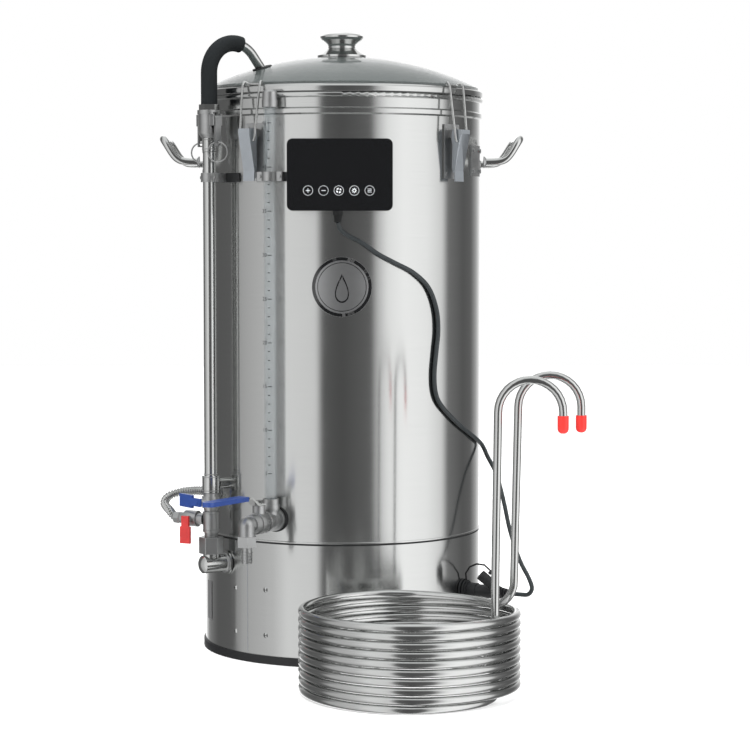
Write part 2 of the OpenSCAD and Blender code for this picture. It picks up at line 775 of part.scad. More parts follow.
// The socket's dust cap rests beside the plug, on its strap
cap_at = [177, -128.5, 100];
module dust_cap() {
    color(black) {
        translate(cap_at) rotate([0, 131, 0]) {
            cylinder(r = 6.5, h = 19, center = true);
            translate([0, 0, 8.5]) cylinder(r = 7.4, h = 1.6);
            translate([-9.6, 0, -4]) cylinder(r = 2.2, h = 4, $fn = 32);
        }
        around(socket_angle, kettle_r + 4.5, socket_z) rotate([90, 0, 0]) ring(10.6, 12.6, 0, 2);
        bent_rod([[154.6, -93, 94], [153.5, -96, 103], [158, -103, 112], [166, -112, 117], [175, -121, 117],
            [181, -127, 112], [184.5, -128.5, 108.5]], 1.1);
    }
}

function polar_point(p) = [p[1] * sin(p[0]), -p[1] * cos(p[0]), p[2]];
module cord() {
    color([0.18, 0.2, 0.21]) sweep(smooth([for (p = cord_route) polar_point(p)], 3), cord_r);
}

// ---- immersion chiller ----

function turn_point(a, z, r = coil_r) = [coil_x + r * cos(a), coil_y + r * sin(a), z];
leg_a = 326.4;
leg_b = 9.5;
arch_r = 36.2;
arch_z = 326.4;
cap_h = 20;
// Both legs lean to the right as they rise
lean_a = [2.9, 0, 0];
lean_b = [4.1, 0, 0];
// The first leg runs down inside the coil to its last turn, and the second leg turns inward to the first one
inner_r_of_coil = coil_r - 10.5;
front_turn = 270;
last_turn = front_turn + 360 * (coil_turns - 1);
coil_low = coil_tube + 0.2;
// The turns lie closest at the back
function pitch_at(a) = coil_pitch - 0.26 + 0.26 * cos(a - 290);
// The start of the first turn lies a little lower than the helix
function coil_z(a) = max(coil_low, coil_low + pitch_at(a) * (coil_turns - 1 - (a - front_turn) / 360)
    - max(0, 100 - a) / 12);
function coil_inward(a) = max(0, min(1, (130 - a) / 60)) + max(0, a - last_turn) / (leg_a - front_turn);
function arch(p) = [for (a = [180:-15:0]) p + [arch_r + arch_r * cos(a), 0, arch_r * sin(a)]];
foot_a = turn_point(leg_a, arch_z, inner_r_of_coil) + lean_a;
foot_b = turn_point(leg_b, arch_z) + lean_b;
tip_a = foot_a + [2 * arch_r, 0, -20];
tip_b = foot_b + [2 * arch_r, 0, -26];
coil_angles = [40:15:last_turn + 45];
chiller_path = concat(
    [tip_b], [for (i = [12:-1:0]) arch(foot_b)[i]],
    [turn_point(leg_b, 180) + lean_b / 4, turn_point(leg_b, 128), turn_point(leg_b + 0.5, 116, coil_r - 1),
        turn_point(leg_b + 3, 105, coil_r - 5), turn_point(leg_b + 9, 97, inner_r_of_coil + 1),
        turn_point(leg_b + 18, 94, inner_r_of_coil)],
    [for (a = coil_angles) turn_point(a, coil_z(a), coil_r - (coil_r - inner_r_of_coil) * coil_inward(a))],
    [turn_point(leg_a - 2, coil_low + 2, inner_r_of_coil), turn_point(leg_a - 0.3, coil_low + 8,
        inner_r_of_coil),
        turn_point(leg_a, 24, inner_r_of_coil), turn_point(leg_a, 60, inner_r_of_coil),
        turn_point(leg_a, 150, inner_r_of_coil) + lean_a / 5],
    arch(foot_a), [tip_a]);

module chiller_coil() {
    color(steel) sweep(chiller_path, coil_tube);
}

// A round-ended cap pushed over a tube's end
module chiller_caps() {
    bore = coil_tube + 0.1;
    color([0.86, 0.16, 0.13]) for (t = [tip_a, tip_b]) translate(t - [0, 0, 4]) rotate_extrude()
        polygon([[0, 0], [3, 0.5], [5, 2], [6.1, 4.2], [6.3, 6.4], [6.3, cap_h], [bore, cap_h], [bore,
            3.5], [0, 3.5]]);
}

base_tray();
base_skirt();
skirt_screws();
kettle();
false_bottom();
heating_element();
pump_motor();
pump_head();
pump_pipes();
relay_board();
gauge_tube();
gauge_fittings();
tap_gasket();
tap_tee();
tap_valve();
hose_barb();
union_nut();
check_valve();
drain_valve();
column_valve();
steel_hose();
riser_pipe();
camlock();
clamp_strap();
pipe_clips();
controller_box();
controller_panel();
strain_relief();
badge();
handle_left();
handle_right();
handle_brackets();
latch_plates();
socket();
dust_cap();
cord();
plug();
malt_pipe();
pump_impeller();
tap_lever();
tap_grip();
red_handle();
blue_handle();
cam_lever_left();
cam_lever_right();
latch_lever_1();
latch_lever_2();
latch_lever_3();
latch_lever_4();
latch_bail_1();
latch_bail_2();
latch_bail_3();
latch_bail_4();
lid_glass();
lid_rim();
lid_knob();
arm_pipe();
foam_sleeve();
chiller_coil();
chiller_caps();
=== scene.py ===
"""Looks for an electric all in one brewer, laid out as a Blender add-on and run as a script."""

import math

import bmesh
import bpy
from mathutils import Matrix, Vector


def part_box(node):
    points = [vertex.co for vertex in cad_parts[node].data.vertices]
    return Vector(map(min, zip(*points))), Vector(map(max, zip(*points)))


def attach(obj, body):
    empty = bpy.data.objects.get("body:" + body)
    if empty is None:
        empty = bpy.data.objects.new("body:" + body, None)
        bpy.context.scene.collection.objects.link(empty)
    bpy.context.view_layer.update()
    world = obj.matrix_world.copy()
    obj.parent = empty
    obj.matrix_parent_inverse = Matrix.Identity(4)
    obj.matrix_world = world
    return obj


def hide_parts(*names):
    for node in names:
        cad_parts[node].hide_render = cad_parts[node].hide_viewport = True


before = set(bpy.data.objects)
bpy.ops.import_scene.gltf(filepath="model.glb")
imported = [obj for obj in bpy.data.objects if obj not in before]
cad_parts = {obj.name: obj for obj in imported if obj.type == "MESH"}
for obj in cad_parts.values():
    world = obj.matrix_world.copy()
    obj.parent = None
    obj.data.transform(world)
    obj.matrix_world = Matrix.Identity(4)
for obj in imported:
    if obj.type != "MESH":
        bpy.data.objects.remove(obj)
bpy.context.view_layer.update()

bl_info = {
    "name": "Electric brewer",
    "version": (1, 0, 0),
    "blender": (4, 5, 0),
    "location": "View3D > Sidebar > Brewer",
    "description": "Finishes and small pieces for an electric all in one brewer",
    "category": "Object",
}

KETTLE_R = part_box("base_skirt")[1].x
PANEL_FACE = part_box("controller_panel")[0].y
MM = 0.001
# Layout of the design, in millimetres: the dome's radius, and where the arm starts to bend, how tightly and which way
DOME_R = 390
ARM_START = 719
ARM_BEND = 38
ARM_HEADING = 39.7
# Level of the gauge's first printed litre, and the radius its marks lie on
FIRST_LITRE = 5
LAST_LITRE = 45
FIRST_MARK_Z = 236
MARK_R = 7.86
# Studio camera: lens and height, with its tilt down and its turn, in degrees
LENS_MM = 109.43
CAMERA_PLACE = (0, -2.9055, 0.5269)
CAMERA_DOWN = 3.604
CAMERA_TURN = 0.831


# ---- settings ----

def colour(name, hex_text, description):
    """A colour property whose default is an sRGB hex value."""
    return bpy.props.FloatVectorProperty(
        name=name, description=description, subtype="COLOR", size=3, min=0, max=1, default=linear(hex_text)
    )


def length(name, millimetres, description):
    """A length property whose default is in millimetres."""
    return bpy.props.FloatProperty(
        name=name, description=description, default=millimetres * MM, min=0.0, unit="LENGTH", precision=4
    )


def angle(name, degrees, description):
    """An angle round the kettle, 0 at the front and positive to the right."""
    return bpy.props.FloatProperty(
        name=name, description=description, default=math.radians(degrees), unit="ROTATION"
    )


def linear(hex_text):
    """The linear colour of an sRGB hex value such as #c8c9ca."""
    parts = [int(hex_text[i:i + 2], 16) / 255 for i in (1, 3, 5)]
    return tuple(p / 12.92 if p <= 0.04045 else ((p + 0.055) / 1.055) ** 2.4 for p in parts)


class BrewerFinishes(bpy.types.PropertyGroup):
    """Colours of the brewer's finishes."""

    sheet: colour("Stainless sheet", "#c9cac9", "Kettle, skirt and lid rim")
    polished: colour("Polished stainless", "#cdcecd", "Tubes, rods and the coil")
    cast: colour("Cast stainless", "#c3c4c4", "Taps, valves and couplings")
    stamped: colour("Stamped steel", "#c8ced4", "Latch levers")
    lid: colour("Tinted glass", "#565c5b", "Dome of the lid")
    gauge: colour("Gauge tube", "#8d9395", "Clear tube of the sight gauge")
    blue: colour("Blue vinyl", "#1f3f86", "Dipped grips of the tap and the column valve")
    red: colour("Red vinyl", "#b8201f", "Dipped grip of the drain valve")
    cap: colour("Red end caps", "#e2261f", "Caps on the ends of the coil")
    foam: colour("Foam sleeve", "#14181a", "Sleeve on the recirculation arm")
    cord: colour("Cord", "#2b3032", "Jacket of the controller's cord")
    abs_black: colour("Black ABS", "#17181a", "Tray, socket and plug")


class BrewerSizes(bpy.types.PropertyGroup):
    """Places and sizes that the small pieces follow."""

    tap_angle: angle("Tap angle", -27.2, "Where the tap and the gauge stand round the kettle")
    column_angle: angle("Column angle", -55, "Where the recirculation column stands round the kettle")
    latch_left: angle("Left latch", -36.5, "Front left latch")
    latch_right: angle("Right latch", 49.5, "Front right latch")
    column_r: length("Column distance", 197, "From the kettle's axis to the column's")
    gauge_r: length("Gauge distance", 188, "From the kettle's axis to the gauge's")
    tap_z: length("Tap height", 179, "Height of the tap's axis")
    wire: length("Latch wire", 1.5, "Radius of the latch wire")
    handle_rod: length("Handle rod", 4.75, "Radius of the lifting handles' rod")
    cord_width: length("Cord diameter", 5.4, "Diameter of the controller's cord")
    hose_r: length("Hose radius", 5.6, "Outer radius of the drain valve's hose")
    coil_r: length("Coil radius", 122.7, "To the middle of the coil's tube")
    coil_tube: length("Coil tube", 4.7, "Outer radius of the coil's tube")
    coil_pitch: length("Coil pitch", 10.1, "Height from turn to turn")
    litre_step: length("Litre step", 10.5, "Height of one litre on the gauge")


# ---- mesh and curve helpers ----

def around(turn, out=0.0, up=0.0):
    """A place at an angle round the kettle, facing outwards along its own -Y."""
    return Matrix.Rotation(turn, 4, "Z") @ Matrix.Translation((0, -out, up))


FACE_OUT = Matrix.Rotation(math.pi / 2, 4, "X")


def finish_mesh(name, bm, matrix, material, body, smooth=35):
    """Turns a bmesh into a piece that rides on a body."""
    bmesh.ops.recalc_face_normals(bm, faces=bm.faces)
    bm.transform(matrix)
    mesh = bpy.data.meshes.new(name)
    bm.to_mesh(mesh)
    bm.free()
    for face in mesh.polygons:
        face.use_smooth = True
    mesh.set_sharp_from_angle(angle=math.radians(smooth))
    mesh.materials.append(material)
    piece = bpy.data.objects.new(name, mesh)
    bpy.context.scene.collection.objects.link(piece)
    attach(piece, body)
    return piece


def lathe(name, profile, matrix, material, body, steps=48):
    """A closed outline of (radius, height) in millimetres turned about the local Z axis."""
    bm = bmesh.new()
    rings = []
    for r, z in profile:
        if r < 1e-6:
            rings.append([bm.verts.new((0, 0, z * MM))])
            continue
        rings.append([
            bm.verts.new((r * MM * math.cos(t), r * MM * math.sin(t), z * MM))
            for t in (2 * math.pi * k / steps for k in range(steps))
        ])
    closed = rings if len(rings[0]) == len(rings[-1]) == 1 else rings + [rings[0]]
    for low, high in zip(closed, closed[1:]):
        for k in range(steps):
            corners = (low[k % len(low)], low[(k + 1) % len(low)], high[(k + 1) % len(high)], high[k % len(high)])
            unique = list(dict.fromkeys(corners))
            if len(unique) >= 3:
                bm.faces.new(unique)
    return finish_mesh(name, bm, matrix, material, body)


def plate(name, outline, thickness, matrix, material, body, round_by=0.0):
    """A flat piece: an outline in millimetres in the local XY plane, given a thickness along Z."""
    bm = bmesh.new()
    add_plate(bm, outline, 0, thickness, round_by)
    return finish_mesh(name, bm, matrix, material, body)


def add_plate(bm, outline, base, thickness, round_by=0.0):
    """Adds one extruded outline to a bmesh."""
    low = [bm.verts.new((x * MM, y * MM, base * MM)) for x, y in outline]
    high = [bm.verts.new((x * MM, y * MM, (base + thickness) * MM)) for x, y in outline]
    faces = [bm.faces.new(low[::-1]), bm.faces.new(high)]
    for i in range(len(low)):
        j = (i + 1) % len(low)
        faces.append(bm.faces.new((low[i], low[j], high[j], high[i])))
    if round_by:
        edges = list({e for f in faces for e in f.edges})
        bmesh.ops.bevel(bm, geom=edges, offset=round_by * MM, segments=2, affect="EDGES")


def circle(radius, steps=32, centre=(0, 0), start=0.0, sweep=2 * math.pi):
    """Points of a circle or of an arc, in millimetres."""
    count = steps if sweep >= 2 * math.pi else steps + 1
    return [
        (centre[0] + radius * math.cos(turn), centre[1] + radius * math.sin(turn))
        for turn in (start + sweep * k / steps for k in range(count))
    ]


def smooth_route(points, steps):
    """A smooth curve through points, as in the design's own cord route."""
    route = []
    for i in range(len(points) - 1):
        a = points[max(i - 1, 0)]
        b = points[i]
        c = points[i + 1]
        d = points[min(i + 2, len(points) - 1)]
        for k in range(steps):
            t = k / steps
            route.append(0.5 * (2 * b + (c - a) * t + (2 * a - 5 * b + 4 * c - d) * t * t
                                + (3 * b - a - 3 * c + d) * t ** 3))
    return route + [points[-1]]


def rod(name, points, radius, material, body, cyclic=False, sides=6, order=0):
    """A round rod, tube or cord along points in metres."""
    curve = bpy.data.curves.new(name, "CURVE")
    curve.dimensions = "3D"
    curve.bevel_depth = radius
    curve.bevel_resolution = sides
    curve.use_fill_caps = True
    spline = curve.splines.new("NURBS" if order else "POLY")
    spline.points.add(len(points) - 1)
    for point, place in zip(spline.points, points):
        point.co = (place[0], place[1], place[2], 1)
    spline.use_cyclic_u = cyclic
    spline.use_smooth = True
    if order:
        spline.order_u = order
        spline.use_endpoint_u = True
        spline.resolution_u = 8
    curve.materials.append(material)
    piece = bpy.data.objects.new(name, curve)
    bpy.context.scene.collection.objects.link(piece)
    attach(piece, body)
    return piece


# ---- finishes ----

def add(tree, kind, inputs=None, **settings):
    """Adds a node with its settings; an input is a value or another node's output."""
    new = tree.nodes.new(kind)
    for key, value in settings.items():
        setattr(new, key, value)
    for key, value in (inputs or {}).items():
        if isinstance(value, bpy.types.NodeSocket):
            tree.links.new(value, new.inputs[key])
        else:
            new.inputs[key].default_value = value
    return new


def start(name, base, metallic=0.0, roughness=0.4, **constants):
    """A material with its shader, whose plain numbers sit on the shader's own sockets."""
    if name in bpy.data.materials:
        return bpy.data.materials[name], None, None
    material = bpy.data.materials.new(name)
    material.use_nodes = True
    tree = material.node_tree
    shader = tree.nodes["Principled BSDF"]
    shader.inputs["Base Color"].default_value = (*base, 1)
    shader.inputs["Metallic"].default_value = metallic
    shader.inputs["Roughness"].default_value = roughness
    for key, value in constants.items():
        shader.inputs[key.replace("_", " ").title().replace("Ior", "IOR")].default_value = value
    return material, tree, shader


def spread(tree, source, low, high):
    """Maps a 0 to 1 value to a range."""
    return add(tree, "ShaderNodeMapRange", {"Value": source, "To Min": low, "To Max": high}).outputs["Result"]


def tint(tree, shader, source, base, darker, lighter):
    """Varies the base colour a little, by a 0 to 1 value."""
    ramp = add(tree, "ShaderNodeValToRGB", {"Fac": source})
    ramp.color_ramp.elements[0].color = (*[c * darker for c in base], 1)
    ramp.color_ramp.elements[1].color = (*[min(1, c * lighter) for c in base], 1)
    tree.links.new(ramp.outputs["Color"], shader.inputs["Base Color"])


def relief(tree, shader, source, depth, strength=1.0):
    """Bump of a real depth in metres."""
    bump = add(tree, "ShaderNodeBump", {"Height": source, "Distance": depth, "Strength": strength})
    tree.links.new(bump.outputs["Normal"], shader.inputs["Normal"])


def pattern(tree, size_mm, detail=3.0, stretch=(1, 1, 1), rough=0.55):
    """Noise whose features are about this size, from a real size in millimetres."""
    place = add(tree, "ShaderNodeTexCoord")
    scaled = add(tree, "ShaderNodeMapping", {"Vector": place.outputs["Object"], "Scale": stretch})
    noise = add(tree, "ShaderNodeTexNoise", {
        "Vector": scaled.outputs["Vector"], "Scale": 1 / (size_mm * MM), "Detail": detail, "Roughness": rough})
    return noise.outputs["Fac"]


def grain_round(tree, spacing_mm, run_mm):
    """Grain lines that run round the kettle's axis: fine in height and long round the wall."""
    place = add(tree, "ShaderNodeTexCoord")
    parts = add(tree, "ShaderNodeSeparateXYZ", {"Vector": place.outputs["Object"]})
    turn = add(tree, "ShaderNodeMath", {0: parts.outputs["X"], 1: parts.outputs["Y"]}, operation="ARCTAN2")
    along = add(tree, "ShaderNodeMath", {0: turn.outputs[0], 1: KETTLE_R / (run_mm * MM)}, operation="MULTIPLY")
    up = add(tree, "ShaderNodeMath", {0: parts.outputs["Z"], 1: 1 / (spacing_mm * MM)}, operation="MULTIPLY")
    both = add(tree, "ShaderNodeCombineXYZ", {"X": along.outputs[0], "Y": up.outputs[0]})
    return add(tree, "ShaderNodeTexNoise", {"Vector": both.outputs[0], "Scale": 1.0, "Detail": 2.0}).outputs["Fac"]


def brushed_stainless_sheet():
    """Rolled and brushed 304 sheet: long soft streaks that smear reflections up and down."""
    base = bpy.context.scene.brewer_finishes.sheet
    material, tree, shader = start("brushed stainless sheet", base, 1.0, 0.2, anisotropic=0.75,
                                   anisotropic_rotation=0.25)
    if tree:
        # Real brush lines are 0.1 mm apart; 0.8 mm is as fine as shows.
        grain = grain_round(tree, 0.8, 60)
        cloud = pattern(tree, 90, 2.0)
        both = add(tree, "ShaderNodeMath", {0: grain, 1: cloud}, operation="MULTIPLY")
        tree.links.new(spread(tree, both.outputs[0], 0.13, 0.3), shader.inputs["Roughness"])
        tint(tree, shader, grain, base, 0.94, 1.03)
        around_axis = add(tree, "ShaderNodeTangent", direction_type="RADIAL", axis="Z")
        tree.links.new(around_axis.outputs[0], shader.inputs["Tangent"])
        relief(tree, shader, grain, 0.000004)
    return material


def polished_stainless():
    """Drawn and polished tube: clear reflections with faint haze."""
    base = bpy.context.scene.brewer_finishes.polished
    material, tree, shader = start("polished stainless tube", base, 1.0, 0.14)
    if tree:
        haze = pattern(tree, 14, 4.0)
        tree.links.new(spread(tree, haze, 0.08, 0.24), shader.inputs["Roughness"])
        tint(tree, shader, pattern(tree, 40), base, 0.93, 1.02)
    return material


def cast_stainless():
    """Investment cast and bead blasted stainless: a fine pebble that dulls highlights."""
    base = bpy.context.scene.brewer_finishes.cast
    material, tree, shader = start("bead blasted cast stainless", base, 1.0, 0.44)
    if tree:
        # Blast pits are 0.1 mm; 0.7 mm is as fine as shows.
        pits = pattern(tree, 0.7, 2.0)
        tree.links.new(spread(tree, pattern(tree, 9, 3.0), 0.36, 0.52), shader.inputs["Roughness"])
        tint(tree, shader, pattern(tree, 12, 4.0), base, 0.82, 1.04)
        relief(tree, shader, pits, 0.00005, 0.5)
    return material


def stamped_steel():
    """Stamped and tumbled steel: cooler and duller than the sheet."""
    base = bpy.context.scene.brewer_finishes.stamped
    material, tree, shader = start("tumbled stamped steel", base, 1.0, 0.42)
    if tree:
        tree.links.new(spread(tree, pattern(tree, 5, 4.0), 0.36, 0.5), shader.inputs["Roughness"])
        tint(tree, shader, pattern(tree, 16, 3.0), base, 0.85, 1.06)
    return material


def tinted_glass():
    """Tempered soda-lime glass with a deep grey tint: satin smooth, and only just see-through."""
    base = bpy.context.scene.brewer_finishes.lid
    material, tree, shader = start("tinted tempered glass", base, 0.0, 0.12, ior=1.25, alpha=0.62)
    if tree:
        tint(tree, shader, pattern(tree, 160, 1.0), base, 0.96, 1.03)
        relief(tree, shader, pattern(tree, 60, 1.0), 0.00004, 0.3)
    return material


def clear_tube():
    """Extruded polycarbonate tube: clear with faint haze."""
    base = bpy.context.scene.brewer_finishes.gauge
    material, tree, shader = start("clear polycarbonate tube", base, 0.0, 0.05, ior=1.3, alpha=0.22)
    if tree:
        tree.links.new(spread(tree, pattern(tree, 20, 2.0, (1, 1, 0.1)), 0.03, 0.12), shader.inputs["Roughness"])
    return material


def black_glass():
    """Back-painted black glass: deep and mirror smooth."""
    base = linear("#0a0b0d")
    material, tree, shader = start("back painted black glass", base, 0.0, 0.05, ior=1.52, coat_weight=1.0,
                                   coat_roughness=0.02)
    if tree:
        tree.links.new(spread(tree, pattern(tree, 30, 3.0), 0.03, 0.1), shader.inputs["Roughness"])
    return material


def white_print():
    """Screen printed white ink."""
    material, tree, shader = start("white screen print", linear("#d9dde0"), 0.0, 0.5)
    if tree:
        tint(tree, shader, pattern(tree, 1.5, 2.0), linear("#d9dde0"), 0.92, 1.0)
    return material


def black_print():
    """Black ink of the litre scale."""
    material, tree, shader = start("black screen print", linear("#2a2d30"), 0.0, 0.5)
    if tree:
        tint(tree, shader, pattern(tree, 1.5, 2.0), linear("#2a2d30"), 0.9, 1.2)
    return material


def dipped_vinyl(name, base):
    """Dip moulded PVC: soft gloss, a slightly uneven skin."""
    material, tree, shader = start(name, base, 0.0, 0.38, ior=1.53, coat_weight=0.15, coat_roughness=0.25)
    if tree:
        tree.links.new(spread(tree, pattern(tree, 6, 3.0), 0.3, 0.5), shader.inputs["Roughness"])
        tint(tree, shader, pattern(tree, 10, 2.0), base, 0.85, 1.1)
        relief(tree, shader, pattern(tree, 2.5, 2.0), 0.00006, 0.5)
    return material


def closed_foam():
    """Closed-cell nitrile foam: matt, finely pitted."""
    base = bpy.context.scene.brewer_finishes.foam
    material, tree, shader = start("closed cell foam", base, 0.0, 0.85)
    if tree:
        # Cells are 0.3 mm; 1.1 mm is as fine as shows.
        cells = pattern(tree, 1.1, 3.0)
        tint(tree, shader, cells, base, 0.7, 1.4)
        tree.links.new(spread(tree, cells, 0.72, 0.95), shader.inputs["Roughness"])
        relief(tree, shader, cells, 0.0003, 0.8)
    return material


def cord_jacket():
    """Extruded PVC jacket: satin black with a faint drawn grain."""
    base = bpy.context.scene.brewer_finishes.cord
    material, tree, shader = start("extruded cord jacket", base, 0.0, 0.5)
    if tree:
        tree.links.new(spread(tree, pattern(tree, 3, 3.0), 0.4, 0.62), shader.inputs["Roughness"])
        tint(tree, shader, pattern(tree, 8, 2.0), base, 0.85, 1.15)
        relief(tree, shader, pattern(tree, 1.2, 2.0), 0.00003, 0.5)
    return material


def moulded_abs():
    """Injection moulded black ABS with a spark-eroded texture."""
    base = bpy.context.scene.brewer_finishes.abs_black
    material, tree, shader = start("moulded black ABS", base, 0.0, 0.5, ior=1.53)
    if tree:
        # The texture's grains are 0.15 mm; 0.9 mm is as fine as shows.
        grains = pattern(tree, 0.9, 2.0)
        tree.links.new(spread(tree, grains, 0.42, 0.62), shader.inputs["Roughness"])
        tint(tree, shader, pattern(tree, 20, 2.0), base, 0.85, 1.15)
        relief(tree, shader, grains, 0.00005, 0.6)
    return material


def black_silicone():
    """Moulded silicone rubber: matt and slightly dusty."""
    base = linear("#1b1c1d")
    material, tree, shader = start("black silicone rubber", base, 0.0, 0.62)
    if tree:
        tree.links.new(spread(tree, pattern(tree, 4, 3.0), 0.5, 0.75), shader.inputs["Roughness"])
        tint(tree, shader, pattern(tree, 9, 3.0), base, 0.8, 1.3)
    return material


def oxidised_sheath():
    """Alloy element sheath with heat tint."""
    base = linear("#8b857d")
    material, tree, shader = start("heat tinted element sheath", base, 1.0, 0.45)
    if tree:
        tint(tree, shader, pattern(tree, 25, 3.0), base, 0.6, 1.05)
    return material


def circuit_board():
    """Green solder mask over glass fibre."""
    base = linear("#1e5a33")
    material, tree, shader = start("green circuit board", base, 0.0, 0.4)
    if tree:
        tint(tree, shader, pattern(tree, 3, 2.0), base, 0.7, 1.2)
    return material


def etched_badge():
    """Photo-etched stainless badge: a matt silver field."""
    base = linear("#c2c3c4")
    material, tree, shader = start("etched stainless badge", base, 1.0, 0.36)
    if tree:
        tree.links.new(spread(tree, pattern(tree, 1.0, 2.0), 0.3, 0.44), shader.inputs["Roughness"])
        tint(tree, shader, pattern(tree, 8, 2.0), base, 0.92, 1.03)
    return material


# ---- routes ----

# The cord's route, as in the design: angle round the kettle, distance from its axis, height
CORD_ROUTE = [
    (-1.5, 186, 538), (-0.5, 182, 529), (3, 179, 521), (8, 178.6, 513), (14, 178.6, 500), (21, 178.6, 489),
    (29, 178.6, 477), (36, 178.6, 459), (40, 178.6, 433), (41, 178.6, 407), (40, 178.6, 381), (39, 178.6, 352),
    (40, 178.6, 328), (44, 178.6, 311), (54, 178.6, 289), (68, 178.6, 270), (80, 180, 257), (78, 188, 243),
    (74, 202, 222), (70, 215, 190), (67, 227, 155), (63, 246, 122), (60, 264, 103), (59, 271, 91),
    (59, 266, 83), (59, 256, 82), (59, 244, 82)]


def polar(turn, out, up):
    """A point from an angle in degrees, a distance and a height in millimetres."""
    t = math.radians(turn)
    return Vector((out * math.sin(t), -out * math.cos(t), up)) * MM


# ---- operators: one for each piece or group of like pieces ----

class BREWER_OT_frame_finishes(bpy.types.Operator):
    """Give each solid of the design its finish, and soften its edges"""

    bl_idname = "brewer.frame_finishes"
    bl_label = "Finishes of the frame"

    def execute(self, context):
        tones = context.scene.brewer_finishes
        sheet = brushed_stainless_sheet()
        polished = polished_stainless()
        cast = cast_stainless()
        abs_black = moulded_abs()
        silicone = black_silicone()
        groups = [
            (sheet, ["base_skirt", "kettle", "lid_rim", "controller_box", "malt_pipe", "false_bottom"]),
            (polished, ["riser_pipe", "arm_pipe", "lid_knob", "tap_lever", "pump_pipes", "skirt_screws"]),
            (cast, ["tap_tee", "tap_valve", "hose_barb", "union_nut", "check_valve", "drain_valve", "column_valve",
                    "camlock", "cam_lever_left", "cam_lever_right", "handle_brackets", "latch_plates",
                    "gauge_fittings", "pipe_clips"]),
            (stamped_steel(), [f"latch_lever_{i}" for i in (1, 2, 3, 4)]),
            (abs_black, ["base_tray", "pump_motor", "pump_head", "pump_impeller", "socket", "plug"]),
            (silicone, ["tap_gasket", "clamp_strap", "strain_relief", "dust_cap"]),
            (tinted_glass(), ["lid_glass"]),
            (clear_tube(), ["gauge_tube"]),
            (black_glass(), ["controller_panel"]),
            (etched_badge(), ["badge"]),
            (dipped_vinyl("dipped blue vinyl", tones.blue), ["tap_grip", "blue_handle"]),
            (dipped_vinyl("dipped red vinyl", tones.red), ["red_handle"]),
            (dipped_vinyl("red end cap vinyl", tones.cap), ["chiller_caps"]),
            (oxidised_sheath(), ["heating_element"]),
            (circuit_board(), ["relay_board"]),
        ]
        soft_edges = {"tap_grip": 2.0, "blue_handle": 1.2, "red_handle": 1.2, "tap_valve": 0.4,
                      "tap_tee": 0.4, "union_nut": 0.6, "camlock": 0.4, "controller_panel": 0.5,
                      "controller_box": 0.6, "column_valve": 0.5, "drain_valve": 0.5, "check_valve": 0.6,
                      "latch_plates": 0.25, "pipe_clips": 0.4, "plug": 0.4, "tap_lever": 0.3,
                      "base_tray": 0.6, "lid_rim": 0.3, "latch_lever_1": 0.5, "latch_lever_2": 0.5,
                      "latch_lever_3": 0.5, "latch_lever_4": 0.5}
        for material, names in groups:
            for name in names:
                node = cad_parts[name]
                node.data.materials.clear()
                node.data.materials.append(material)
                for face in node.data.polygons:
                    face.material_index = 0
                if name in soft_edges:
                    weld = node.modifiers.new("Join", "WELD")
                    weld.merge_threshold = 0.00001
                    bevel = node.modifiers.new("Soft edges", "BEVEL")
                    bevel.width = soft_edges[name] * MM
                    bevel.segments = 2
                    bevel.limit_method = "ANGLE"
                    bevel.angle_limit = math.radians(40)
        return {"FINISHED"}


class BREWER_OT_cord(bpy.types.Operator):
    """The controller's cord, from the gland under the panel to the plug"""

    bl_idname = "brewer.cord"
    bl_label = "Cord"

    def execute(self, context):
        width = context.scene.brewer_sizes.cord_width
        points = smooth_route([polar(*p) for p in CORD_ROUTE], 5)
        cord = rod("controller_cord", points, width / 2, cord_jacket(), "brewer")
        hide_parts("cord")
        return {"FINISHED"}


